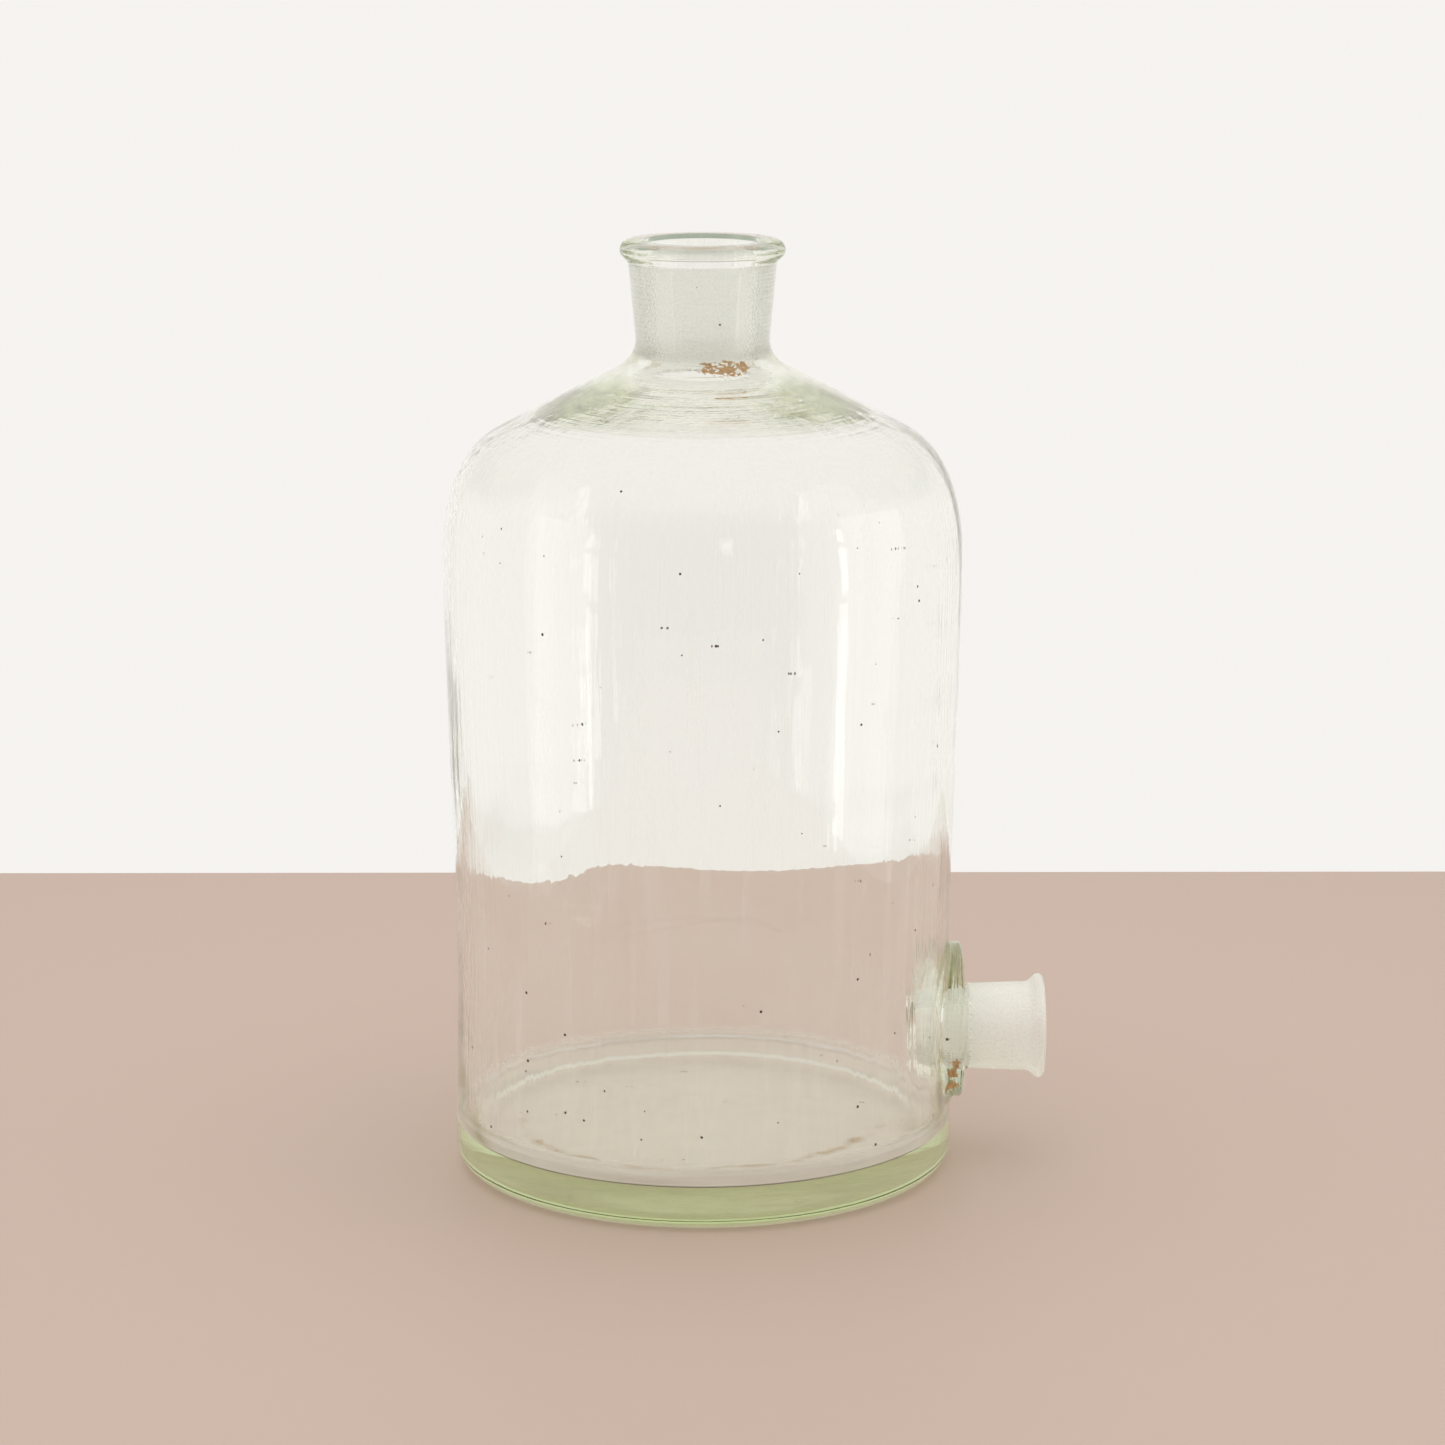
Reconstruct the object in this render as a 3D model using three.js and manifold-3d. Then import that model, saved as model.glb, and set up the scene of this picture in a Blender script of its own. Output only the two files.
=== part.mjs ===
// Glass aspirator bottle: a blown bottle with a ground neck socket, and a ground side outlet
// fused to the wall just above the base. Millimetres, +Z up. The origin is the centre of the
// flat underside, the bottle stands along +Z and the outlet points along +X.
//
// The glass is fused into one article, so each node is one formed region of it, and regions
// that meet keep a joint gap of GAP between their faces.
import * as THREE from 'three';
import { mergeVertices } from 'three/addons/utils/BufferGeometryUtils.js';
import Module from 'manifold-3d';

const wasm = await Module();
wasm.setup();

// ---- Driving dimensions ----

const GAP = 0.3;
const BODY_SEGMENTS = 64;
const SMALL_SEGMENTS = 40;

// Base: a thick plate with a rounded heel. Its floor is pushed up in the middle.
const FOOT_R = 90.6;
const HEEL_ROUND = 8;
const FLOOR_Z = 14;
const FLOOR_RISE = 5;
const FLOOR_STEPS = 6;

// Wall: nearly a cylinder, drawn in a little above the base and widest below the shoulder.
const LOWER_WALL_R = 90.5;
const LOWER_WALL_Z = 39;
const WAIST_R = 89.8;
const WAIST_Z = 85;
const MID_WALL_R = 91.7;
const BELLY_R = 93.2;
const BELLY_Z = 222;
const WALL_T = 4;
const FLOOR_FILLET = 10;

// Shoulder: a dome that ends in a straight slope, then a hollow curve up into the neck.
const SLOPE_ANGLE = THREE.MathUtils.degToRad(27.5);
const SLOPE_START_R = 73.8;
const SLOPE_START_Z = 269.2;
const DOME_FULLNESS = 0.68;
const NECK_FILLET = 10.7;
const THROAT_T = 7.3;
const THROAT_SLOPE_ANGLE = THREE.MathUtils.degToRad(20.5);
const INNER_SLOPE_ANGLE = THREE.MathUtils.degToRad(29);
const INNER_BEND_R = 60;
const INNER_SLOPE_START_R = 72;

// Neck: a ground conical socket. Its bore narrows by 1 mm in diameter for every 10 mm of depth.
const NECK_WAIST_R = 23.75;
const NECK_TOP_R = 26.2;
const NECK_FLARE = 1;
const NECK_FLARE_DROP = 2.5;
const SOCKET_BOTTOM_Z = 294.5;
const SOCKET_TOP_Z = 330;
const GROUND_TAPER = 1 / 20;

// Lip: a fire-polished bead round the mouth.
const BEAD_RING_R = 25.8;
const BEAD_ROUND = 3.5;
const MOUTH_Z = 336.7;
const MOUTH_ROUND = 1.5;

// Side outlet: a fused boss, a ground tube and a flared rim. The boss sits above the tube's axis.
const OUTLET_Z = 49;
const BOSS_Z = 51.6;
const BOSS_R = 28.4;
const BOSS_INNER_X = 78;
const BOSS_FACE_X = 94.6;
const BOSS_ROUND = 3;
const TUBE_ROOT_R = 15.55;
const TUBE_TIP_R = 16.25;
const TUBE_FILLET = 3.2;
const RIM_START_X = 118;
const RIM_R = 19.1;
const RIM_ROUND = 1.9;
const RIM_FLARE_LENGTH = 2.5;
const RIM_FLARE_R = 18.5;
const OUTLET_END_X = 124.3;
const OUTLET_MOUTH_R = 12;
const CUT_MARGIN = 10;

// ---- Materials ----

const glass = (color, roughness) => new THREE.MeshStandardMaterial({ color, roughness, metalness: 0 });

const clearGlass = () => glass(0xe4eae2, 0.05);
const thickGlass = () => glass(0xbccfa4, 0.08);
const groundGlass = () => glass(0xe6e6dc, 0.6);

// ---- Helpers ----

const point = (x, y) => new THREE.Vector2(x, y);

// Points of an arc about (x, y), from one angle to another, in radians.
function arc(x, y, radius, from, to, steps) {
  return Array.from({ length: steps + 1 }, (_, i) => {
    const angle = from + (to - from) * i / steps;
    return point(x + radius * Math.cos(angle), y + radius * Math.sin(angle));
  });
}

// Points of a curve that leaves `start` and reaches `end` along the two lines through `corner`.
function blend(start, corner, end, fullness, steps) {
  const leave = start.clone().lerp(corner, fullness);
  const reach = end.clone().lerp(corner, fullness);
  return new THREE.CubicBezierCurve(start, leave, reach, end).getPoints(steps);
}

// Turns a closed outline of (radius, height) points about the Z axis.
function turned(outline, segments) {
  const geometry = new THREE.LatheGeometry([...outline, outline[0]], segments);
  return geometry.rotateX(Math.PI / 2);
}

// Turns a closed outline of (radius, x) points about a line along X at height z.
function turnedAlongX(outline, z) {
  return turned(outline, SMALL_SEGMENTS).rotateY(Math.PI / 2).translate(0, 0, z);
}

function toSolid(geometry) {
  const bare = geometry.clone();
  bare.deleteAttribute('normal');
  bare.deleteAttribute('uv');
  const merged = mergeVertices(bare, 1e-4);
  return new wasm.Manifold(new wasm.Mesh({
    numProp: 3,
    vertProperties: new Float32Array(merged.attributes.position.array),
    triVerts: new Uint32Array(merged.index.array),
  }));
}

function toGeometry(solid) {
  const mesh = solid.getMesh();
  const geometry = new THREE.BufferGeometry();
  geometry.setAttribute('position', new THREE.BufferAttribute(mesh.vertProperties, 3));
  geometry.setIndex(new THREE.BufferAttribute(mesh.triVerts, 1));
  geometry.computeVertexNormals();
  return geometry;
}

// A solid plug along X, from one x to another, used to cut round openings.
function cutter(radius, fromX, toX, z) {
  const geometry = new THREE.CylinderGeometry(radius, radius, toX - fromX, SMALL_SEGMENTS);
  geometry.rotateZ(-Math.PI / 2).translate((fromX + toX) / 2, 0, z);
  return toSolid(geometry);
}

function node(name, geometry, material) {
  const mesh = new THREE.Mesh(geometry, material);
  mesh.name = name;
  return mesh;
}

// ---- Shared outlines ----

const QUARTER = Math.PI / 2;

// Outer and inner faces of the wall, from bottom to top.
const outerWall = new THREE.SplineCurve([
  point(FOOT_R, FLOOR_Z + GAP),
  point(LOWER_WALL_R, LOWER_WALL_Z),
  point(WAIST_R, WAIST_Z),
  point(MID_WALL_R, (WAIST_Z + BELLY_Z) / 2),
  point(BELLY_R, BELLY_Z),
]).getPoints(12);

const innerWall = outerWall
  .filter(p => p.y > FLOOR_Z + FLOOR_FILLET)
  .map(p => point(p.x - WALL_T, p.y));

// The straight slope of the shoulder's outer face.
const slopeZ = r => SLOPE_START_Z + (SLOPE_START_R - r) * Math.tan(SLOPE_ANGLE);
const onSlope = r => point(r, slopeZ(r));

// The hollow curve between the slope and the neck. The throat turns about the same centre.
const neckCurveR = NECK_WAIST_R + NECK_FILLET;
const neckCurveZ = slopeZ(neckCurveR) + NECK_FILLET / Math.cos(SLOPE_ANGLE);
const neckCurve = (from, to, steps) => arc(neckCurveR, neckCurveZ, NECK_FILLET, from, to, steps);
const neckCurveAngle = (z, radius) => Math.PI + Math.asin((neckCurveZ - z) / radius);

// The shoulder's inner face leaves the throat on one straight slope, which thins the glass, and
// bends into a second one that is a little steeper than the outer face.
const throatRound = NECK_FILLET + THROAT_T;
const throatSlopeZ = r =>
  neckCurveZ - throatRound / Math.cos(THROAT_SLOPE_ANGLE) + (neckCurveR - r) * Math.tan(THROAT_SLOPE_ANGLE);
const innerSlopeZ = r => throatSlopeZ(INNER_BEND_R) + (INNER_BEND_R - r) * Math.tan(INNER_SLOPE_ANGLE);
const onInnerSlope = r => point(r, innerSlopeZ(r));
const socketBottomR = neckCurveR + throatRound * Math.cos(neckCurveAngle(SOCKET_BOTTOM_Z, throatRound));

// Where the wall's fillet meets the floor, and the floor's height inside that radius.
const FLOOR_R = FOOT_R - WALL_T - FLOOR_FILLET;
const floorZ = r => FLOOR_Z + FLOOR_RISE * (1 - (r / FLOOR_R) ** 2) ** 1.5;
const onFloor = r => point(r, floorZ(r));

const socketR = z => socketBottomR + (z - SOCKET_BOTTOM_Z) * GROUND_TAPER;
const outletBoreR = x => OUTLET_MOUTH_R - (OUTLET_END_X - x) * GROUND_TAPER;

// ---- Blown bottle ----

function base() {
  const floor = Array.from({ length: FLOOR_STEPS + 1 }, (_, i) => onFloor(FLOOR_R * (1 - i / FLOOR_STEPS)));
  return turned([
    point(0, 0),
    ...arc(FOOT_R - HEEL_ROUND, HEEL_ROUND, HEEL_ROUND, -QUARTER, 0, 5),
    point(FOOT_R, FLOOR_Z),
    ...floor,
  ], BODY_SEGMENTS);
}

function wall() {
  const shell = toSolid(turned([
    ...outerWall,
    ...innerWall.toReversed(),
    ...arc(FLOOR_R, FLOOR_Z + GAP + FLOOR_FILLET, FLOOR_FILLET, 0, -QUARTER, 5),
  ], BODY_SEGMENTS));
  const opening = cutter(BOSS_R + GAP, BOSS_INNER_X - CUT_MARGIN, BOSS_FACE_X + CUT_MARGIN, BOSS_Z);
  return toGeometry(shell.subtract(opening));
}

function shoulder() {
  const bottomZ = BELLY_Z + GAP;
  const topZ = SOCKET_BOTTOM_Z - GAP;
  const innerR = BELLY_R - WALL_T;
  const outer = [
    ...blend(point(BELLY_R, bottomZ), onSlope(BELLY_R), onSlope(SLOPE_START_R), DOME_FULLNESS, 8),
    ...neckCurve(1.5 * Math.PI - SLOPE_ANGLE, neckCurveAngle(topZ, NECK_FILLET), 4),
  ];
  const inner = [
    ...blend(
      point(innerR, bottomZ),
      onInnerSlope(innerR),
      onInnerSlope(INNER_SLOPE_START_R),
      DOME_FULLNESS,
      8,
    ),
    point(INNER_BEND_R, throatSlopeZ(INNER_BEND_R)),
    ...arc(
      neckCurveR,
      neckCurveZ,
      throatRound,
      1.5 * Math.PI - THROAT_SLOPE_ANGLE,
      neckCurveAngle(topZ, throatRound),
      4,
    ),
  ];
  return turned([...outer, ...inner.toReversed()], BODY_SEGMENTS);
}

function neckSocket() {
  return turned([
    ...neckCurve(neckCurveAngle(SOCKET_BOTTOM_Z, NECK_FILLET), Math.PI, 3),
    point(NECK_TOP_R, SOCKET_TOP_Z - NECK_FLARE_DROP),
    point(NECK_TOP_R + NECK_FLARE, SOCKET_TOP_Z),
    point(socketR(SOCKET_TOP_Z), SOCKET_TOP_Z),
    point(socketR(SOCKET_BOTTOM_Z), SOCKET_BOTTOM_Z),
  ], SMALL_SEGMENTS);
}

function lip() {
  const bottomZ = SOCKET_TOP_Z + GAP;
  const mouthR = socketR(bottomZ);
  const beadZ = MOUTH_Z - BEAD_ROUND;
  return turned([
    ...arc(BEAD_RING_R, beadZ, BEAD_ROUND, Math.asin((bottomZ - beadZ) / BEAD_ROUND), QUARTER, 7),
    ...arc(mouthR + MOUTH_ROUND, MOUTH_Z - MOUTH_ROUND, MOUTH_ROUND, QUARTER, Math.PI, 3),
    point(mouthR, bottomZ),
  ], SMALL_SEGMENTS);
}

// ---- Side outlet ----

function outletBoss() {
  const disc = toSolid(turnedAlongX([
    point(0, BOSS_INNER_X),
    point(BOSS_R - BOSS_ROUND, BOSS_INNER_X),
    point(BOSS_R, BOSS_INNER_X + BOSS_ROUND),
    ...arc(BOSS_R - BOSS_ROUND, BOSS_FACE_X - BOSS_ROUND, BOSS_ROUND, 0, QUARTER, 4),
    point(0, BOSS_FACE_X),
  ], BOSS_Z));
  const boreR = outletBoreR(BOSS_FACE_X);
  const bore = cutter(boreR, BOSS_INNER_X - CUT_MARGIN, BOSS_FACE_X + CUT_MARGIN, OUTLET_Z);
  return toGeometry(disc.subtract(bore));
}

function outletTube() {
  const rootX = BOSS_FACE_X + GAP;
  const tipX = RIM_START_X - GAP;
  return turnedAlongX([
    point(outletBoreR(rootX), rootX),
    ...arc(TUBE_ROOT_R + TUBE_FILLET, rootX + TUBE_FILLET, TUBE_FILLET, -QUARTER, -Math.PI, 4),
    point(TUBE_TIP_R, tipX),
    point(outletBoreR(tipX), tipX),
  ], OUTLET_Z);
}

function outletRim() {
  return turnedAlongX([
    point(outletBoreR(RIM_START_X), RIM_START_X),
    point(TUBE_TIP_R, RIM_START_X),
    point(RIM_FLARE_R, RIM_START_X + RIM_FLARE_LENGTH),
    ...arc(RIM_R - RIM_ROUND, OUTLET_END_X - RIM_ROUND, RIM_ROUND, 0.2, QUARTER, 4),
    point(OUTLET_MOUTH_R, OUTLET_END_X),
  ], OUTLET_Z);
}

// ---- Assembly ----

const bottle = new THREE.Group();
bottle.name = 'blown_bottle';
bottle.add(
  node('base', base(), thickGlass()),
  node('body_wall', wall(), clearGlass()),
  node('shoulder', shoulder(), clearGlass()),
  node('neck_socket', neckSocket(), groundGlass()),
  node('lip_bead', lip(), clearGlass()),
);

const outlet = new THREE.Group();
outlet.name = 'side_outlet';
outlet.add(
  node('outlet_boss', outletBoss(), clearGlass()),
  node('outlet_tube', outletTube(), groundGlass()),
  node('outlet_rim', outletRim(), groundGlass()),
);

const aspiratorBottle = new THREE.Group();
aspiratorBottle.name = 'aspirator_bottle';
aspiratorBottle.add(bottle, outlet);

export default aspiratorBottle;
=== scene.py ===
"""The look of a blown glass aspirator bottle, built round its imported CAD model.

Metres, +Z up, the bottle's axis on Z and its side outlet along +X. The real bottle is one fused
piece of glass, so one closed glass mesh stands for all of the CAD regions, without their gaps.
"""

import math

import bpy
import numpy as np
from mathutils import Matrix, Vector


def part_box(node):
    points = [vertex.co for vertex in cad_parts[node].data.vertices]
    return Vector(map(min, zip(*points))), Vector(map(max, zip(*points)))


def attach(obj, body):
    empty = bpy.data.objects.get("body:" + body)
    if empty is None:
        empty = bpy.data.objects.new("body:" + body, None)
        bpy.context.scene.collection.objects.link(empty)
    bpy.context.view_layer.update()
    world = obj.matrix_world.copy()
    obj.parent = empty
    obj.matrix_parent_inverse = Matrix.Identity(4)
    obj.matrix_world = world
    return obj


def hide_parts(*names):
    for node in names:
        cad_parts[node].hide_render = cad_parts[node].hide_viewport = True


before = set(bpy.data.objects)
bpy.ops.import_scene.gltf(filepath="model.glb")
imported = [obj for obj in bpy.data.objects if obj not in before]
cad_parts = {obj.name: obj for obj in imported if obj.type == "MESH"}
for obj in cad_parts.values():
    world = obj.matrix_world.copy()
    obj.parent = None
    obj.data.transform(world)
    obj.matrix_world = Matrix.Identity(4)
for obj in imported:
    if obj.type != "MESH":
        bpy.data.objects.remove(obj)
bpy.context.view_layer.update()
MM = 0.001

# ---- Sizes from the frame ----

foot_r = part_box("base")[1].x
floor_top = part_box("base")[1].z
belly_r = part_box("shoulder")[1].x
belly_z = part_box("shoulder")[0].z
socket_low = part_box("neck_socket")[0].z
lip_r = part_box("lip_bead")[1].x
mouth_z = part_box("lip_bead")[1].z
boss_lo, boss_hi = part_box("outlet_boss")
tube_lo, tube_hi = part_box("outlet_tube")
rim_lo, rim_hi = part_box("outlet_rim")
boss_r = (boss_hi.y - boss_lo.y) / 2
boss_z = (boss_hi.z + boss_lo.z) / 2
boss_face = boss_hi.x
boss_back = boss_lo.x
outlet_z = (tube_hi.z + tube_lo.z) / 2
rim_r = (rim_hi.y - rim_lo.y) / 2
rim_start = rim_lo.x
outlet_end = rim_hi.x

# ---- Sizes that the frame doesn't hold ----

HEEL_ROUND = 8 * MM
FOOT_RING = 6 * MM       # width of the flat ring that the bottle stands on
WAIST_R = 89.8 * MM
WAIST_Z = 85 * MM
BASE_WALL_RISE = 25 * MM     # the wall starts to draw in this far above the floor
BASE_WALL_DRAW = 0.1 * MM
BELLY_SWELL = 0.2 * MM       # how far the wall bulges past a straight line, halfway to the belly
WALL_T = 4 * MM
FLOOR_FILLET = 10 * MM
FLOOR_RISE = 5 * MM      # the floor is pushed up in the middle
PUNT = 1.2 * MM          # hollow under the foot
SLOPE = math.radians(27.5)
SLOPE_R = 73.8 * MM
SLOPE_Z = 269.2 * MM
SHOULDER_FULLNESS = 0.68
BEND_FULLNESS = 0.67
THROAT_T = 7.3 * MM
THROAT_SLOPE = math.radians(20.5)
INNER_SLOPE = math.radians(29)
INNER_BEND_R = 53 * MM
INNER_BEND_END_R = 67 * MM
INNER_SLOPE_R = 72 * MM
NECK_WAIST_R = 23.75 * MM
NECK_TOP_R = 26.2 * MM
NECK_FILLET = 10.7 * MM
SOCKET_TOP = 330 * MM
BEAD_START_Z = 327.5 * MM
BEAD_START_TURN = -0.8   # radians round the bead's section
TAPER = 1 / 20
BEAD_ROUND = 3.5 * MM
MOUTH_ROUND = 1.5 * MM
TUBE_ROOT_R = 15.55 * MM
TUBE_TIP_R = 16.25 * MM
TUBE_FILLET = 3.2 * MM
RIM_ROUND = 1.9 * MM
OUTLET_MOUTH_R = 12 * MM
OUTLET_MOUTH_ROUND = 0.6 * MM
BORE_END_ROUND = 2 * MM

floor_z = floor_top - FLOOR_RISE
punt_r = foot_r - HEEL_ROUND - FOOT_RING
floor_r = foot_r - WALL_T - FLOOR_FILLET

COLUMNS = 240
BLOCK_HALF = 15          # columns each side of +X that the outlet's patch takes
BLOCK_ROWS = 30
STEP = 2.8 * MM          # row spacing
TUBE_STEP = 2.2 * MM
HUB_STEPS = 5            # rings between the outlet's patch edge and its joint


# ---- Outlines ----

def arc(r, z, radius, start, end, steps):
    angles = np.linspace(start, end, steps + 1)
    return np.column_stack([r + radius * np.cos(angles), z + radius * np.sin(angles)])


def line(a, b, step=STEP):
    steps = max(1, round(math.dist(a, b) / step))
    return np.linspace(a, b, steps + 1)


def bezier(start, corner, end, fullness, steps):
    """A curve that leaves start and reaches end along the two lines through corner."""
    start, corner, end = map(np.array, (start, corner, end))
    leave = start + (corner - start) * fullness
    reach = end + (corner - end) * fullness
    t = np.linspace(0, 1, steps + 1)[:, None]
    return (1 - t)**3 * start + 3 * (1 - t)**2 * t * leave + 3 * (1 - t) * t**2 * reach + t**3 * end


def hump(end_r, end_z, height, steps):
    """A low rise from just off the axis out to an edge, level at both ends."""
    start_r = 5 * MM
    r = np.linspace(start_r, end_r, steps + 1)
    share = r / end_r
    return np.column_stack([r, end_z + height * (1 - share**2)**1.5])


def joined(*parts):
    """The parts as one outline, without the doubled points where they meet."""
    points = np.vstack(parts)
    keep = np.r_[True, np.linalg.norm(np.diff(points, axis=0), axis=1) > 1e-6]
    return points[keep]


def slope_z(r):
    return SLOPE_Z + (SLOPE_R - r) * math.tan(SLOPE)


def throat_slope(r):
    """A point of the inner face just below the throat, where the glass thins."""
    return r, throat_low_z + (throat_low_r - r) * math.tan(THROAT_SLOPE)


def inner_slope(r):
    """A point of the shoulder's inner slope, a little steeper than the outer one."""
    bend_r, bend_z = throat_slope((INNER_BEND_R + INNER_BEND_END_R) / 2)
    return r, bend_z + (bend_r - r) * math.tan(INNER_SLOPE)


def socket_r(z):
    return socket_low_r + (z - socket_low) * TAPER


def bore_r(x):
    return OUTLET_MOUTH_R - (outlet_end - x) * TAPER


def wall_r(z):
    """Outer radius of the wall: a smooth curve through the foot, the waist and the belly."""
    middle_z = (WAIST_Z + belly_z) / 2
    middle_r = (WAIST_R + belly_r) / 2 + BELLY_SWELL
    heights = np.array([floor_z, floor_z + BASE_WALL_RISE, WAIST_Z, middle_z, belly_z])
    radii = np.array([foot_r, foot_r - BASE_WALL_DRAW, WAIST_R, middle_r, belly_r])
    slopes = np.gradient(radii, heights)
    slopes[0] = slopes[-1] = 0
    span = np.clip(np.searchsorted(heights, z) - 1, 0, len(heights) - 2)
    width = heights[span + 1] - heights[span]
    t = np.clip((z - heights[span]) / width, 0, 1)
    return (
        (2 * t**3 - 3 * t**2 + 1) * radii[span] + (t**3 - 2 * t**2 + t) * width * slopes[span]
        + (3 * t**2 - 2 * t**3) * radii[span + 1] + (t**3 - t**2) * width * slopes[span + 1]
    )


def inner_wall_r(z):
    """Inner radius of the wall, with the fillet where it meets the floor."""
    rise = np.clip(floor_z + FLOOR_FILLET - z, 0, FLOOR_FILLET)
    return wall_r(z) - WALL_T - FLOOR_FILLET + np.sqrt(FLOOR_FILLET**2 - rise**2)


def wall_rows(surface_r, low, high, steps=None):
    steps = steps or round(abs(high - low) / STEP)
    z = np.linspace(low, high, steps + 1)
    return np.column_stack([surface_r(z), z])


# Heights between which the two faces of the wall make room for the outlet's patch.
OUTER_BLOCK = (16.5 * MM, 86.5 * MM)
INNER_BLOCK = (20 * MM, 84 * MM)
QUARTER = math.pi / 2

neck_curve_r = NECK_WAIST_R + NECK_FILLET
neck_curve_z = slope_z(neck_curve_r) + NECK_FILLET / math.cos(SLOPE)
inner_belly = belly_r - WALL_T
throat_r = NECK_FILLET + THROAT_T
throat_start = math.pi + math.asin((neck_curve_z - socket_low) / throat_r)
socket_low_r = neck_curve_r + throat_r * math.cos(throat_start)
throat_low_r = neck_curve_r - throat_r * math.sin(THROAT_SLOPE)
throat_low_z = neck_curve_z - throat_r * math.cos(THROAT_SLOPE)
bead_r = lip_r - BEAD_ROUND
bead_z = mouth_z - BEAD_ROUND
bead_start = (bead_r + BEAD_ROUND * math.cos(BEAD_START_TURN),
              bead_z + BEAD_ROUND * math.sin(BEAD_START_TURN))
mouth_r = socket_r(SOCKET_TOP)

outside = joined(
    hump(punt_r, 0, PUNT, 14),
    line((punt_r, 0), (foot_r - HEEL_ROUND, 0), FOOT_RING / 2),
    arc(foot_r - HEEL_ROUND, HEEL_ROUND, HEEL_ROUND, -QUARTER, 0, 8),
    line((foot_r, HEEL_ROUND), (foot_r, floor_z)),
    wall_rows(wall_r, floor_z, OUTER_BLOCK[0], 1),
    wall_rows(wall_r, *OUTER_BLOCK, BLOCK_ROWS),
    wall_rows(wall_r, OUTER_BLOCK[1], belly_z),
    bezier((belly_r, belly_z), (belly_r, slope_z(belly_r)), (SLOPE_R, SLOPE_Z), SHOULDER_FULLNESS, 22),
    line((SLOPE_R, SLOPE_Z), (neck_curve_r - NECK_FILLET * math.sin(SLOPE),
                              neck_curve_z - NECK_FILLET * math.cos(SLOPE))),
    arc(neck_curve_r, neck_curve_z, NECK_FILLET, 3 * QUARTER - SLOPE, math.pi, 8),
    line((NECK_WAIST_R, neck_curve_z), (NECK_TOP_R, BEAD_START_Z)),
    bezier((NECK_TOP_R, BEAD_START_Z), (NECK_TOP_R + 0.1 * MM, SOCKET_TOP - 0.6 * MM), bead_start, 0.7, 5),
    arc(bead_r, bead_z, BEAD_ROUND, BEAD_START_TURN, QUARTER, 14),
)
inside = joined(
    line((bead_r, mouth_z), (mouth_r + MOUTH_ROUND, mouth_z), 1 * MM),
    arc(mouth_r + MOUTH_ROUND, mouth_z - MOUTH_ROUND, MOUTH_ROUND, QUARTER, math.pi, 5),
    line((mouth_r, mouth_z - MOUTH_ROUND), (socket_low_r, socket_low), 2 * MM),
    arc(neck_curve_r, neck_curve_z, throat_r, throat_start, 3 * QUARTER - THROAT_SLOPE, 6),
    line(throat_slope(throat_low_r), throat_slope(INNER_BEND_R)),
    bezier(throat_slope(INNER_BEND_R), throat_slope((INNER_BEND_R + INNER_BEND_END_R) / 2),
           inner_slope(INNER_BEND_END_R), BEND_FULLNESS, 6),
    line(inner_slope(INNER_BEND_END_R), inner_slope(INNER_SLOPE_R)),
    bezier(inner_slope(INNER_SLOPE_R), inner_slope(inner_belly), (inner_belly, belly_z),
           SHOULDER_FULLNESS, 22),
    wall_rows(inner_wall_r, belly_z, INNER_BLOCK[1]),
    wall_rows(inner_wall_r, *reversed(INNER_BLOCK), BLOCK_ROWS),
    arc(floor_r, floor_z + FLOOR_FILLET, FLOOR_FILLET,
        -math.asin(1 - (INNER_BLOCK[0] - floor_z) / FLOOR_FILLET), -QUARTER, 7),
    hump(floor_r, floor_z, FLOOR_RISE, 22)[::-1],
)


# ---- Waves left in the glass by blowing ----

class Waves:
    """A sum of sine waves over the azimuth and the height, seeded, with a given swing."""

    def __init__(self, seed, turns, per_metre, count, swing):
        draw = np.random.default_rng(seed)
        self.turns = draw.integers(turns[0], turns[1] + 1, count)
        self.rise = draw.uniform(-per_metre, per_metre, count) * 2 * math.pi
        self.phase = draw.uniform(0, 2 * math.pi, count)
        self.swing = swing / math.sqrt(count)

    def at(self, azimuth, z):
        total = 0
        for turns, rise, phase in zip(self.turns, self.rise, self.phase):
            total = total + np.sin(turns * azimuth + rise * z + phase)
        return self.swing * total


DENT = 0.3 * MM          # mean depth of the dents, so that the waves stay inside the outline
CALM_ABOVE_FLOOR = 20 * MM
CALM_BELOW_NECK = 25 * MM

broad_outer = Waves(3, (2, 4), 4, 6, 0.12 * MM)
broad_inner = Waves(5, (1, 6), 9, 12, 0.22 * MM)
streaks_inner = Waves(8, (9, 34), 3, 18, 0.035 * MM)
rings_inner = Waves(13, (0, 2), 40, 10, 0.05 * MM)


def calm(z):
    """1 on the blown wall and shoulder, easing to 0 at the base and at the neck."""
    above_floor = np.clip((z - floor_z) / CALM_ABOVE_FLOOR, 0, 1)
    return above_floor * np.clip((socket_low - z) / CALM_BELOW_NECK, 0, 1)


def outer_dent(azimuth, z):
    """How far the outer face lies inside its outline. Never less than nothing."""
    return calm(z) * (DENT + broad_outer.at(azimuth, z))


def inner_dent(azimuth, z):
    waves = broad_inner.at(azimuth, z) + streaks_inner.at(azimuth, z) + rings_inner.at(azimuth, z)
    return calm(z) * (DENT + waves)


# ---- The glass mesh ----

azimuths = np.arange(COLUMNS) * 2 * math.pi / COLUMNS


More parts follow.
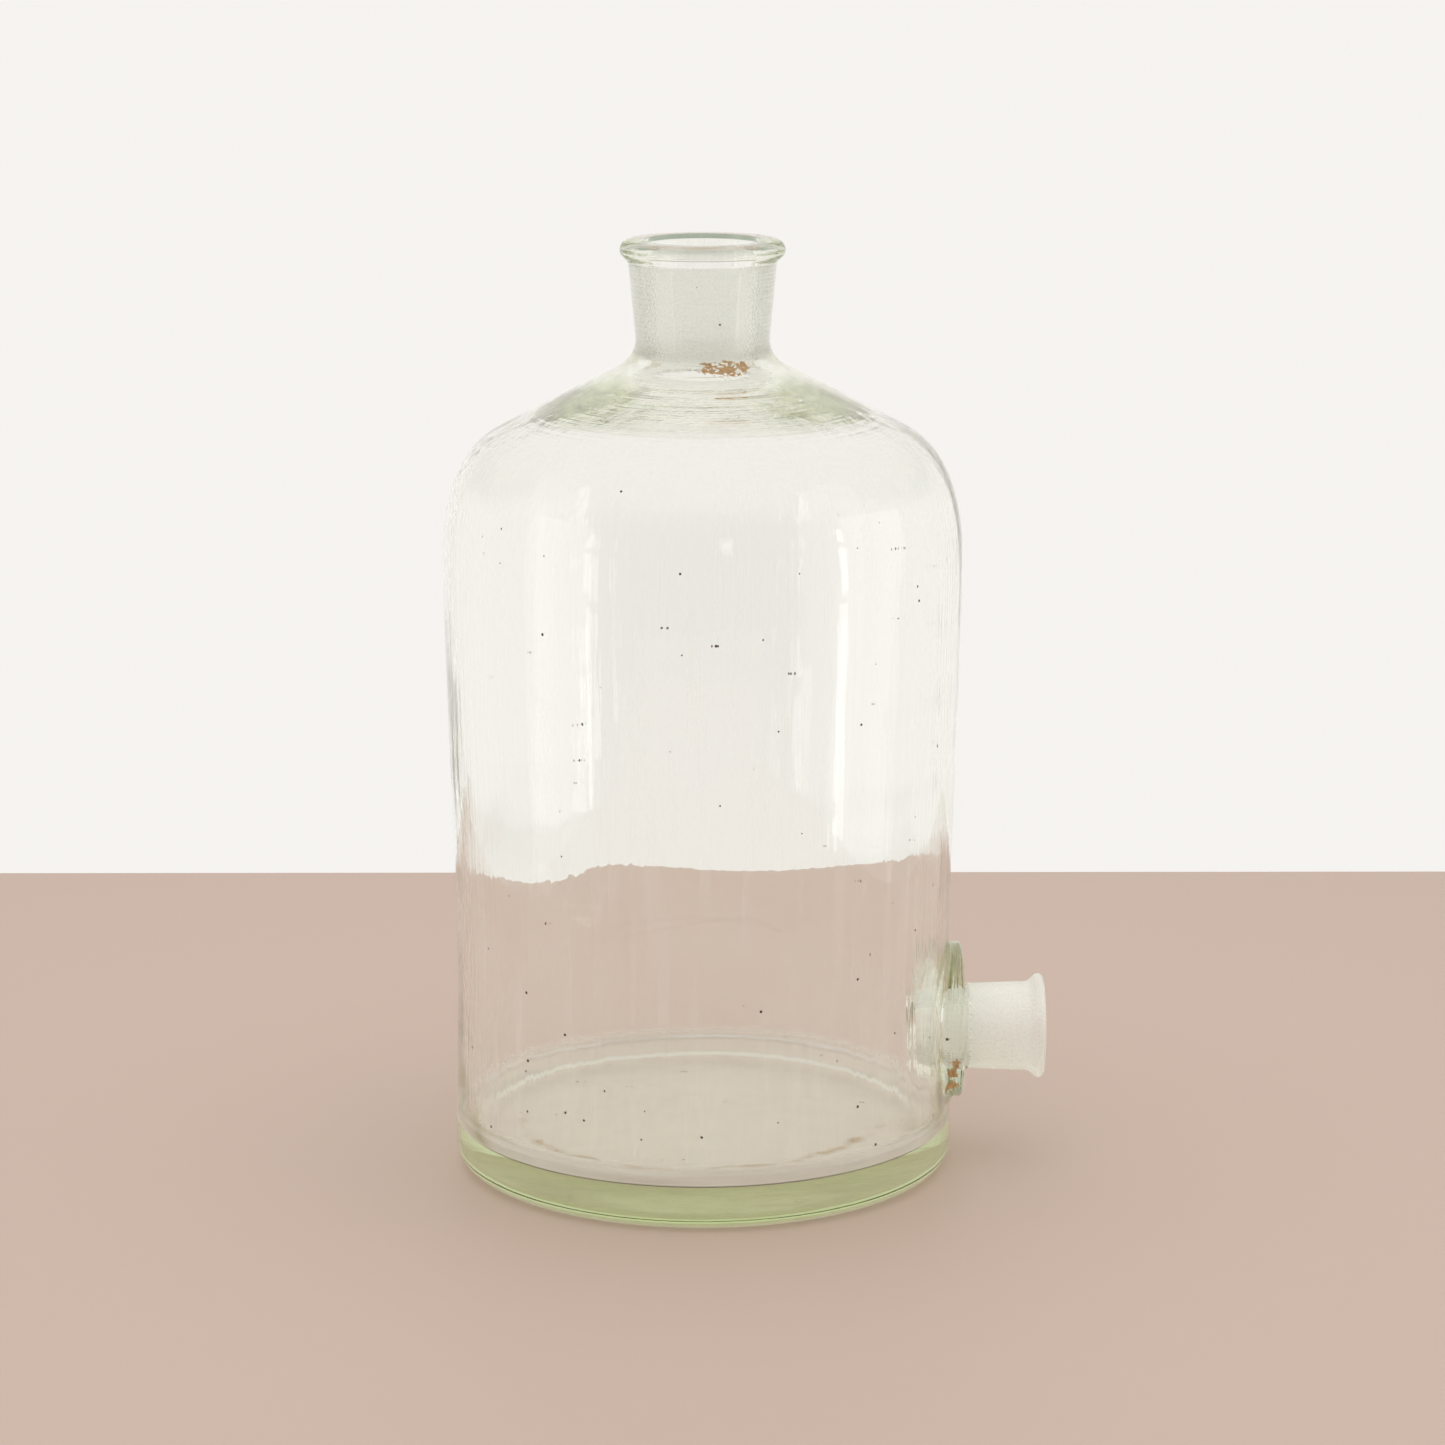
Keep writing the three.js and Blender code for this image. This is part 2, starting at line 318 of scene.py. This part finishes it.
class MeshParts:
    """Vertices and faces of one mesh as it grows, with a mark on the vertices of the inner face."""

    def __init__(self):
        self.points = []
        self.inner = []
        self.faces = []
        self.count = 0

    def add(self, points, inner):
        start = self.count
        self.points.append(np.asarray(points))
        self.inner.append(np.full(len(points), float(inner)))
        self.count += len(points)
        return np.arange(start, self.count)

    def bridge(self, lower, upper):
        """Quads between two rings of as many vertices."""
        for a, b, c, d in zip(lower, np.roll(lower, -1), np.roll(upper, -1), upper):
            self.faces.append((a, b, c, d))

    def cap(self, ring, centre, inner):
        pole = self.add([centre], inner)[0]
        for a, b in zip(ring, np.roll(ring, -1)):
            self.faces.append((b, a, pole))


def turned_ring(r, z, dent):
    r = r - dent(azimuths, z)
    return np.column_stack([r * np.cos(azimuths), r * np.sin(azimuths), np.full(COLUMNS, z)])


def shell_rings(parts, outline, dent, inner, block):
    """Adds the rings of an outline and their faces, leaving out the block where the outlet goes.
    Returns the rings and the row numbers of the block's first and last ring."""
    rings = [parts.add(turned_ring(r, z, dent), inner) for r, z in outline]
    on_wall = outline[:, 0] > foot_r - 2 * WALL_T
    low, high = sorted(
        int(np.argmin(np.where(on_wall, abs(outline[:, 1] - z), np.inf))) for z in block
    )
    for row in range(len(rings) - 1):
        in_block = low <= row < high
        for column in range(COLUMNS):
            away = min(column, COLUMNS - 1 - column)
            if in_block and away < BLOCK_HALF:
                continue
            after = (column + 1) % COLUMNS
            parts.faces.append((rings[row][column], rings[row][after],
                                rings[row + 1][after], rings[row + 1][column]))
    return rings, low, high


def block_edge(rings, bottom_row, top_row):
    """The vertices round the block, anticlockwise as seen from outside."""
    columns = [c % COLUMNS for c in range(-BLOCK_HALF, BLOCK_HALF + 1)]
    up = 1 if top_row > bottom_row else -1
    between = range(bottom_row + up, top_row, up)
    bottom = [rings[bottom_row][c] for c in columns]
    right = [rings[row][columns[-1]] for row in between]
    top = [rings[top_row][c] for c in reversed(columns)]
    left = [rings[row][columns[0]] for row in reversed(between)]
    return np.array(bottom + right + top + left)


def outlet_rings(parts, edge, all_points, surface_r, dent, hub, inner):
    """Rings that run from the block's edge to a round ring and on over the outlet's joint.
    hub lists (radius, share, x, height): share 0 lies on the wall and 1 at x."""
    corner = all_points[edge]
    edge_azimuth = np.arctan2(corner[:, 1], corner[:, 0])
    edge_z = corner[:, 2]
    mean_r = surface_r(boss_z)
    angle = np.arctan2(edge_z - boss_z, edge_azimuth * mean_r)

    def on_wall(azimuth, z):
        r = surface_r(z) - dent(azimuth, z)
        return np.column_stack([r * np.cos(azimuth), r * np.sin(azimuth), z])

    first = hub[0]
    round_azimuth = np.arcsin(first[0] * np.cos(angle) / mean_r)
    round_z = first[3] + first[0] * np.sin(angle)
    rings = [edge]
    for step in range(1, HUB_STEPS):
        share = step / HUB_STEPS
        azimuth = edge_azimuth + (round_azimuth - edge_azimuth) * share
        z = edge_z + (round_z - edge_z) * share
        rings.append(parts.add(on_wall(azimuth, z), inner))
    for radius, share, x, height in hub:
        y = radius * np.cos(angle)
        z = height + radius * np.sin(angle)
        wall = on_wall(np.arcsin(np.clip(y / mean_r, -1, 1)), z)
        across = np.column_stack([np.full(len(y), x), y, z])
        point = wall * (1 - share) + across * share
        point[:, 1:] = across[:, 1:]
        rings.append(parts.add(point, inner))
    return rings, angle


def along_x(parts, profile, angle, inner):
    """Rings about the outlet's axis, from a list of (radius, x)."""
    return [
        parts.add(np.column_stack([np.full(len(angle), x), radius * np.cos(angle),
                                   outlet_z + radius * np.sin(angle)]), inner)
        for radius, x in profile
    ]


def eased(a, b, t):
    return a + (b - a) * t * t * (3 - 2 * t)


def outer_hub():
    """The outside of the joint: a blend off the wall, the disc's ridged side and its face."""
    blend_r = 3 * MM
    blend_share = 0.3
    ridge = 0.2 * MM
    ridges = 3
    turns = np.linspace(0, QUARTER, 6)
    rings = [(boss_r + blend_r * (1 - math.sin(t)), blend_share * (1 - math.cos(t))) for t in turns]
    for t in np.linspace(0, 1, 15)[1:-1]:
        rings.append((boss_r - ridge * (1 - math.cos(2 * math.pi * ridges * t)),
                      blend_share + (1 - 2 * blend_share) * t))
    rings += [(boss_r - blend_r * (1 - math.cos(t)), 1 - blend_share * (1 - math.sin(t)))
              for t in turns]
    side = [(radius, share, boss_face, boss_z) for radius, share in rings]
    start = rings[-1][0]
    root = TUBE_ROOT_R + TUBE_FILLET
    face = [(start + (root - start) * t, 1, boss_face, eased(boss_z, outlet_z, t))
            for t in (0.25, 0.5, 0.75, 1)]
    return side + face


def inner_hub():
    """The inside of the joint: glass swollen into the bottle round the bore."""
    swell_r = 30 * MM
    crest_r = 12.6 * MM
    crest_x = boss_back - 1 * MM
    return [
        (swell_r + (crest_r - swell_r) * t, eased(0, 1, t), crest_x, eased(boss_z, outlet_z, t))
        for t in np.linspace(0, 1, 12)
    ]


def tube_outside():
    root = arc(TUBE_ROOT_R + TUBE_FILLET, boss_face + TUBE_FILLET, TUBE_FILLET, -QUARTER, -math.pi, 6)
    body = line(root[-1], (TUBE_TIP_R, rim_start), TUBE_STEP)
    flare = bezier(body[-1], (TUBE_TIP_R + 0.4 * MM, rim_start + 1.6 * MM),
                   (rim_r - 0.3 * MM, outlet_end - RIM_ROUND - 1.2 * MM), 0.55, 6)
    edge = arc(rim_r - RIM_ROUND, outlet_end - RIM_ROUND, RIM_ROUND, 0.15, QUARTER, 6)
    face = line(edge[-1], (OUTLET_MOUTH_R + OUTLET_MOUTH_ROUND, outlet_end), 1.6 * MM)
    return joined(root[1:], body, flare, edge, face)


def tube_bore():
    lead_in = arc(OUTLET_MOUTH_R + OUTLET_MOUTH_ROUND, outlet_end - OUTLET_MOUTH_ROUND,
                  OUTLET_MOUTH_ROUND, QUARTER, math.pi, 3)
    inner_end = boss_back + 1.2 * MM
    bore = line(lead_in[-1], (bore_r(inner_end), inner_end), TUBE_STEP)
    mouth = arc(bore_r(inner_end) + BORE_END_ROUND, inner_end, BORE_END_ROUND,
                math.pi, 3 * QUARTER, 4)
    return joined(lead_in[1:], bore, mouth)


def without_loose(points, inner, faces):
    """The same mesh without the vertices that no face uses."""
    used = np.zeros(len(points), dtype=bool)
    used[np.concatenate(faces)] = True
    number = np.cumsum(used) - 1
    return points[used], inner[used], [tuple(number[list(face)]) for face in faces]


def build_glass():
    """The glass as one closed surface: outside, over the lip, inside, and the outlet through both."""
    parts = MeshParts()
    outer, outer_low, outer_high = shell_rings(parts, outside, outer_dent, False, OUTER_BLOCK)
    inner, inner_high, inner_low = shell_rings(parts, inside[1:], inner_dent, True, INNER_BLOCK)
    parts.bridge(outer[-1], inner[0])
    parts.cap(outer[0], (0, 0, PUNT), False)
    parts.cap(inner[-1][::-1], (0, 0, floor_top), True)

    placed = np.vstack(parts.points)
    outer_edge = block_edge(outer, outer_low, outer_high)
    inner_edge = block_edge(inner, inner_low, inner_high)
    joint, angle = outlet_rings(parts, outer_edge, placed, wall_r, outer_dent, outer_hub(), False)
    tube = along_x(parts, tube_outside(), angle, False)
    bore = along_x(parts, tube_bore(), angle, True)
    swell, _ = outlet_rings(parts, inner_edge, placed, inner_wall_r, inner_dent, inner_hub(), True)
    run = joint + tube + bore + swell[::-1]
    for lower, upper in zip(run, run[1:]):
        parts.bridge(lower, upper)
    return without_loose(np.vstack(parts.points), np.concatenate(parts.inner), parts.faces)


def smooth_mesh(name, points, faces):
    mesh = bpy.data.meshes.new(name)
    mesh.from_pydata([tuple(p) for p in points], [], faces)
    mesh.validate()
    mesh.shade_smooth()
    piece = bpy.data.objects.new(name, mesh)
    bpy.context.scene.collection.objects.link(piece)
    return piece


def vertex_mask(piece, name, values):
    layer = piece.data.attributes.new(name, "FLOAT", "POINT")
    layer.data.foreach_set("value", np.asarray(values, dtype=np.float32))


def ramp(value, low, high):
    """0 below low and 1 above high, smooth between. low may be above high."""
    t = np.clip((value - low) / (high - low), 0, 1)
    return t * t * (3 - 2 * t)


def near_spots(points, spots):
    """1 at the spots, easing to 0 at their reach. Each spot is (x, y, z, reach) in millimetres."""
    nearness = [
        ramp(np.linalg.norm(points - np.array(place) * MM, axis=1), reach * MM, 0)
        for *place, reach in spots
    ]
    return np.maximum.reduce(nearness)


THROAT_RUST = ((2, -19.5, 291.5, 5), (8, -18.5, 290.5, 7), (13, -15.5, 291.5, 5))
BOSS_RUST = ((91, -26, 42, 3.5), (90, -24.5, 38, 4), (90, -21, 32, 5))
OUTLET_STAINS = ((80, -26, 30, 20), (84, -14, 18, 16), (78, -24, 46, 8))
FAR_STAINS = ((-84, -18, 36, 24), (-80, -34, 22, 18))
GRINDING_EDGE = 0.6 * MM     # the ground faces fade out over this length


def ground_mask(points, is_inner):
    """1 on the ground faces: inside the neck, outside the outlet's tube and in its bore.
    Returns that and each vertex's distance along the axis that its face was turned about."""
    x, y, z = points.T
    from_bore = np.hypot(y, z - outlet_z)
    at_outlet = (x > boss_back) & (from_bore < boss_r) & (z < boss_hi.z)
    above_throat = ramp(z, socket_low - GRINDING_EDGE, socket_low)
    in_socket = above_throat * ramp(z, SOCKET_TOP + GRINDING_EDGE, SOCKET_TOP)
    neck = in_socket * is_inner * (np.hypot(x, y) < NECK_TOP_R)
    tube = ramp(x, boss_face + 1 * MM, boss_face + TUBE_FILLET) * (1 - is_inner) * at_outlet
    in_bore = is_inner * (from_bore < OUTLET_MOUTH_R + 1 * MM)
    bore = in_bore * ramp(x, boss_back + 2 * MM, boss_back + 4 * MM)
    along = np.where(at_outlet & (x > boss_face), x, z)
    return np.clip(neck + tube + bore, 0, 1), along


points, is_inner, faces = build_glass()
heights = points[:, 2]
is_ground, along_grinding = ground_mask(points, is_inner)

glass = smooth_mesh("bottle_glass", points, faces)
vertex_mask(glass, "ground", is_ground)
vertex_mask(glass, "inner", is_inner)
vertex_mask(glass, "along", along_grinding)
vertex_mask(glass, "floor", is_inner * ramp(heights, floor_z + 12 * MM, floor_z + 6 * MM))
vertex_mask(glass, "rust", near_spots(points, THROAT_RUST + BOSS_RUST))
vertex_mask(glass, "stain", is_inner * near_spots(points, OUTLET_STAINS + FAR_STAINS))
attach(glass, "root")
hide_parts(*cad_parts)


# ---- Glass material ----

class Nodes:
    """A short way to make and link the nodes of one tree."""

    def __init__(self, tree):
        self.tree = tree
        tree.nodes.clear()

    def add(self, kind, inputs=None, **settings):
        made = self.tree.nodes.new(kind)
        for key, value in settings.items():
            setattr(made, key, value)
        for key, value in (inputs or {}).items():
            if isinstance(value, bpy.types.NodeSocket):
                self.tree.links.new(value, made.inputs[key])
            else:
                made.inputs[key].default_value = value
        return made

    def math(self, operation, *values):
        made = self.add("ShaderNodeMath", dict(enumerate(values)), operation=operation)
        return made.outputs[0]

    def product(self, *values):
        total = values[0]
        for value in values[1:]:
            total = self.math("MULTIPLY", total, value)
        return total

    def highest(self, *values):
        top = values[0]
        for value in values[1:]:
            top = self.math("MAXIMUM", top, value)
        return top

    def scaled(self, vector, factors):
        made = self.add("ShaderNodeVectorMath", {0: vector, 1: factors}, operation="MULTIPLY")
        return made.outputs[0]

    def attribute(self, name):
        return self.add("ShaderNodeAttribute", attribute_name=name).outputs["Fac"]

    def noise(self, vector, scale, detail=3, dimensions="3D"):
        key = "W" if dimensions == "1D" else "Vector"
        made = self.add("ShaderNodeTexNoise", {key: vector, "Scale": scale, "Detail": detail},
                        noise_dimensions=dimensions)
        return made.outputs["Fac"]

    def between(self, value, low, high, to_low=0.0, to_high=1.0):
        made = self.add(
            "ShaderNodeMapRange",
            {"Value": value, "From Min": low, "From Max": high, "To Min": to_low, "To Max": to_high},
            interpolation_type="SMOOTHSTEP",
        )
        return made.outputs["Result"]

    def stripe(self, value, start, full, last, end):
        """1 from full to last, easing to 0 at start and at end."""
        return self.product(self.between(value, start, full), self.between(value, end, last))

    def mix(self, factor, a, b, kind="RGBA"):
        made = self.add("ShaderNodeMix", data_type=kind, clamp_factor=True)
        names = {"RGBA": (6, 7, 2), "FLOAT": (2, 3, 0)}[kind]
        for key, value in ((0, factor), (names[0], a), (names[1], b)):
            if isinstance(value, bpy.types.NodeSocket):
                self.tree.links.new(value, made.inputs[key])
            else:
                made.inputs[key].default_value = value
        return made.outputs[names[2]]


WHITE = (0.95, 0.92, 0.90, 1)
CREAM = (0.93, 0.86, 0.82, 1)
PALE = (1, 0.99, 0.97, 1)
TAN = (0.55, 0.40, 0.24, 1)
BROWN = (0.10, 0.05, 0.03, 1)
OLIVE = (0.38, 0.34, 0.13, 1)
RUST_TONES = ((0.24, 0.09, 0.03, 1), (0.92, 0.62, 0.34, 1))
FROST_TONES = ((0.78, 0.76, 0.75, 1), (1, 0.99, 0.98, 1))
GLASS_TINT = (0.68, 0.76, 0.42, 1)
GLASS_TINT_DENSITY = 10.0
SHADOW_TINT = (0.9, 0.91, 0.89, 1)
GLASS_IOR = 1.5

# Radii on the floor in metres: a stripe's start, its full part and its end.
TIDE_LINE = (0.062, 0.0655, 0.066, 0.0695)
EDGE_LINE = (0.079, 0.0797, 0.0812, 0.0822)

# Noise scales, in features per metre.
CLOUD_SCALE = 28
FINE_SCALE = 90
CRUMB_SCALE = 150.0
RUN_SCALE = 230
CRUST_SCALE = 750
RUST_TONE_SCALE = 1100
GRAIN_SCALE = 1300
LINE_SCALE = 1500
STREAK_SCALE = 110
THREAD_SCALE = 480
TURNING_SCALE = 420

DRAWN = (1, 1, 0.05)     # squeezes the height, so that noise is drawn out upright
STREAK_DEPTH = 0.00016
TOOTH_DEPTH = 0.00006


class GlassNodes(Nodes):
    """The nodes of the glass, with the places, masks and noises that its layers share."""

    def __init__(self, tree):
        super().__init__(tree)
        self.place = self.add("ShaderNodeTexCoord").outputs["Object"]
        split = self.add("ShaderNodeSeparateXYZ", {"Vector": self.place}).outputs
        self.y, self.z = split["Y"], split["Z"]
        flat = self.scaled(self.place, (1, 1, 0))
        length = self.add("ShaderNodeVectorMath", {0: flat}, operation="LENGTH")
        self.from_axis = length.outputs["Value"]
        self.drawn = self.scaled(self.place, DRAWN)
        self.ground = self.attribute("ground")
        self.inner = self.attribute("inner")
        self.floor = self.attribute("floor")
        self.cloud = self.noise(self.place, CLOUD_SCALE, 5)
        self.fine = self.noise(self.place, FINE_SCALE, 4)
        self.grain = self.between(self.noise(self.place, GRAIN_SCALE, 3), 0.3, 0.62)
        self.lines = self.noise(self.attribute("along"), LINE_SCALE, 3, "1D")

    def tide_line(self):
        """A broken line on the front of the floor, where liquid dried."""
        edge_r = self.math("ADD", self.from_axis, self.between(self.cloud, 0.2, 0.8, -0.004, 0.004))
        broken = self.between(self.fine, 0.4, 0.65)
        at_front = self.between(self.y, 0.01, -0.03)
        return self.product(self.stripe(edge_r, *TIDE_LINE), self.floor, broken, at_front)

    def edge_lines(self):
        """The line round the floor's edge: dark on the front side and a pale deposit behind."""
        ring = self.product(self.stripe(self.from_axis, *EDGE_LINE), self.floor)
        # A dark line in the floor's corner, on the front half of the ring only.
        dark_front_line = self.product(ring, self.between(self.y, -0.02, -0.05), 0.9)
        pale = self.product(ring, self.between(self.y, 0.0, 0.03))
        return dark_front_line, pale

    def crumbs(self):
        """Sparse specks on the inner face."""
        cells = self.add("ShaderNodeTexVoronoi", {"Vector": self.place, "Scale": CRUMB_SCALE}).outputs
        pick = self.add("ShaderNodeSeparateColor", {"Color": cells["Color"]}).outputs["Red"]
        speck_r = self.between(pick, 0.55, 1.0, 0.0, 0.085)
        return self.product(self.inner, self.math("LESS_THAN", cells["Distance"], speck_r))

    def rust(self):
        near = self.attribute("rust")
        rough = self.math("SUBTRACT", self.noise(self.place, CRUST_SCALE, 6), 0.5)
        crust = self.math("ADD", near, self.product(rough, 2.6))
        return self.product(self.between(crust, 0.3, 0.55), self.between(near, 0.03, 0.12))

    def haze(self):
        """A faint film on the inner face, with upright runs."""
        runs = self.between(self.noise(self.drawn, RUN_SCALE, 3), 0.5, 0.72, 0.0, 0.1)
        film = self.between(self.cloud, 0.35, 0.75, 0.025, 0.06)
        return self.product(self.inner, self.math("ADD", film, runs))

    def frost(self):
        """How white the ground faces are: grain, the lines of grinding and a little wear."""
        grain = self.between(self.grain, 0.0, 1.0, 0.22, 0.3)
        lines = self.between(self.lines, 0.35, 0.65, 0.04, 0.16)
        wear = self.between(self.fine, 0.35, 0.65, 0.0, 0.1)
        return self.product(self.ground, self.math("ADD", self.math("ADD", grain, lines), wear))

    def film(self):
        """The matt film on the glass, half of it lit from behind, and how much it covers."""
        tide = self.tide_line()
        dark_front_line, pale = self.edge_lines()
        crumbs = self.crumbs()
        rust = self.rust()
        stain = self.product(self.attribute("stain"), self.between(self.fine, 0.3, 0.7, 0.25, 0.9))
        deposit = self.product(self.floor, self.between(self.cloud, 0.3, 0.7, 0.72, 0.9))
        share = self.highest(deposit, self.haze(), self.frost(), crumbs, rust,
                             self.product(stain, 0.7), dark_front_line, pale)

        rust_tone = self.mix(self.noise(self.place, RUST_TONE_SCALE, 3), *RUST_TONES)
        colour = self.mix(tide, self.mix(self.floor, WHITE, CREAM), TAN)
        colour = self.mix(pale, colour, PALE)
        colour = self.mix(self.ground, colour, self.mix(self.grain, *FROST_TONES))
        colour = self.mix(stain, colour, OLIVE)
        # Brown for the specks and for the dark line on the front of the floor's edge.
        colour = self.mix(self.highest(crumbs, dark_front_line), colour, BROWN)
        colour = self.mix(rust, colour, rust_tone)
        front_lit = self.add("ShaderNodeBsdfDiffuse", {"Color": colour}).outputs[0]
        back_lit = self.add("ShaderNodeBsdfTranslucent", {"Color": colour}).outputs[0]
        both = self.add("ShaderNodeMixShader", {0: 0.5, 1: front_lit, 2: back_lit})
        return both.outputs[0], share

    def relief(self):
        """Long upright streaks and turning lines in the blown glass, and the tooth of grinding."""
        threads = self.product(self.noise(self.drawn, THREAD_SCALE, 1), 0.12)
        streaks = self.math("ADD", self.noise(self.drawn, STREAK_SCALE, 3), threads)
        on_shoulder = self.between(self.z, 0.255, 0.268)
        turning = self.product(self.noise(self.from_axis, TURNING_SCALE, 2, "1D"), on_shoulder, 0.5)
        blown = self.math("SUBTRACT", 1.0, self.ground)
        streaks = self.product(self.math("ADD", streaks, turning), blown)
        tooth = self.math("ADD", self.product(self.grain, 0.6), self.lines)
        tooth = self.product(tooth, self.ground)
        drawn = self.add("ShaderNodeBump", {"Height": streaks, "Distance": STREAK_DEPTH}).outputs[0]
        made = self.add("ShaderNodeBump", {"Height": tooth, "Distance": TOOTH_DEPTH, "Normal": drawn})
        return made.outputs[0]


def glass_material():
    material = bpy.data.materials.new("bottle_glass")
    material.use_nodes = True
    n = GlassNodes(material.node_tree)
    film, share = n.film()
    clear = n.add("ShaderNodeBsdfPrincipled", {
        "Base Color": (1, 1, 1, 1),
        "Roughness": n.mix(n.ground, 0.0, n.between(n.grain, 0.0, 1.0, 0.34, 0.5), "FLOAT"),
        "IOR": GLASS_IOR,
        "Transmission Weight": 1.0,
        "Normal": n.relief(),
    })
    seen = n.add("ShaderNodeMixShader", {0: share, 1: clear.outputs[0], 2: film}).outputs[0]
    let_through = n.add("ShaderNodeBsdfTransparent", {"Color": SHADOW_TINT}).outputs[0]
    shadow_ray = n.add("ShaderNodeLightPath").outputs["Is Shadow Ray"]
    surface = n.add("ShaderNodeMixShader", {0: shadow_ray, 1: seen, 2: let_through}).outputs[0]
    depth = n.add("ShaderNodeVolumeAbsorption", {"Color": GLASS_TINT, "Density": GLASS_TINT_DENSITY})
    n.add("ShaderNodeOutputMaterial", {"Surface": surface, "Volume": depth.outputs[0]})
    return material


glass.data.materials.append(glass_material())


# ---- Floor, light and camera ----

TABLE_COLOUR = (0.44, 0.335, 0.28)
TABLE_ROUGHNESS = 0.6
LAMP_COLOUR = (1, 0.97, 0.93)
OVERHEAD_POWER = 24      # watts

# The room's colour by direction.
NEAR_WALL = (0.30, 0.295, 0.29, 1)
FAR_WALL = (0.92, 0.90, 0.87, 1)
CEILING = (0.85, 0.84, 0.82, 1)
FLOOR_BELOW = (0.34, 0.39, 0.31, 1)

LENS_MM = 107.1
CAMERA_PLACE = (0, -1.5147, 0.4923)
LOOK_DOWN = math.radians(12.28)
LOOK_ASIDE = math.radians(-0.266)

# Bright panes that the wall reflects: name, azimuth, radiance, width; then height, length.
WINDOW_STRIPS = (
    ("left_wide", -49, 1.7, 0.09), ("left_narrow", -38, 1.2, 0.03),
    ("right_wide", 62, 1.9, 0.1), ("right_narrow", 38, 0.9, 0.035),
)
WINDOW_PANES = ((0.62, 0.24), (0.2, 0.44), (-0.3, 0.4))


def plain_material(name, colour, roughness):
    material = bpy.data.materials.new(name)
    material.use_nodes = True
    shader = material.node_tree.nodes["Principled BSDF"]
    shader.inputs["Base Color"].default_value = (*colour, 1)
    shader.inputs["Roughness"].default_value = roughness
    return material


def table_top():
    half_width = 0.45
    front, back = -1.0, 0.42
    depth = 0.03
    bpy.ops.mesh.primitive_cube_add(size=1, location=(0, (front + back) / 2, -depth / 2))
    top = bpy.context.active_object
    top.name = "table_top"
    top.scale = (2 * half_width, back - front, depth)
    top.data.materials.append(plain_material("table_top", TABLE_COLOUR, TABLE_ROUGHNESS))


def soft_box(name, azimuth, radiance, size, tilt=0, distance=1.8, height=0.15):
    """A soft light that faces the bottle. Azimuth 0 is towards the camera, 90 towards +X."""
    lamp = bpy.data.lights.new(name, "AREA")
    lamp.shape = "RECTANGLE"
    lamp.size, lamp.size_y = size
    lamp.energy = radiance * math.pi * size[0] * size[1]
    lamp.color = LAMP_COLOUR
    turn = math.radians(azimuth)
    holder = bpy.data.objects.new(name, lamp)
    holder.location = (distance * math.sin(turn), -distance * math.cos(turn), height)
    holder.rotation_euler = (math.radians(90), math.radians(tilt), turn)
    bpy.context.scene.collection.objects.link(holder)


def overhead_light():
    """Lights matt surfaces from above without showing in the glass."""
    lamp = bpy.data.lights.new("overhead_light", "AREA")
    lamp.shape = "DISK"
    lamp.size = 2.0
    lamp.energy = OVERHEAD_POWER
    holder = bpy.data.objects.new("overhead_light", lamp)
    holder.location = (0, -0.2, 1.8)
    holder.visible_glossy = False
    holder.visible_transmission = False
    bpy.context.scene.collection.objects.link(holder)


def room_light():
    """Brightest behind the bottle and dimmer towards the camera, like a room with one pale wall."""
    world = bpy.data.worlds.new("room")
    world.use_nodes = True
    n = Nodes(world.node_tree)
    way = n.add("ShaderNodeTexCoord").outputs["Generated"]
    facing = n.add("ShaderNodeSeparateXYZ", {"Vector": way}).outputs
    colour = n.mix(n.between(facing["Y"], -0.95, 0.1), NEAR_WALL, FAR_WALL)
    colour = n.mix(n.between(facing["Z"], 0.3, 0.9), colour, CEILING)
    colour = n.mix(n.between(facing["Z"], -0.255, -0.33), colour, FLOOR_BELOW)
    sky = n.add("ShaderNodeBackground", {"Color": colour, "Strength": 1.0})
    n.add("ShaderNodeOutputWorld", {"Surface": sky.outputs[0]})
    bpy.context.scene.world = world


def add_camera():
    lens = bpy.data.cameras.new("camera")
    lens.sensor_width = 36
    lens.lens = LENS_MM
    camera = bpy.data.objects.new("camera", lens)
    camera.location = CAMERA_PLACE
    camera.rotation_euler = (QUARTER - LOOK_DOWN, 0, LOOK_ASIDE)
    bpy.context.scene.collection.objects.link(camera)
    bpy.context.scene.camera = camera


table_top()
soft_box("right_light", 78, 0.5, (1.15, 1.5), tilt=10)
soft_box("left_light", -65, 0.47, (1.1, 1.5))
for side, azimuth, radiance, width in WINDOW_STRIPS:
    for height, tall in WINDOW_PANES:
        soft_box(f"{side}_{height}", azimuth, radiance, (width, tall), height=height)
soft_box("front_pane", 11, 1.3, (0.13, 0.22), height=0.62)
overhead_light()
room_light()
add_camera()

scene = bpy.context.scene
scene.view_settings.view_transform = "Standard"
scene.cycles.max_bounces = 40
scene.cycles.glossy_bounces = 32
scene.cycles.transmission_bounces = 32
scene.cycles.transparent_max_bounces = 32
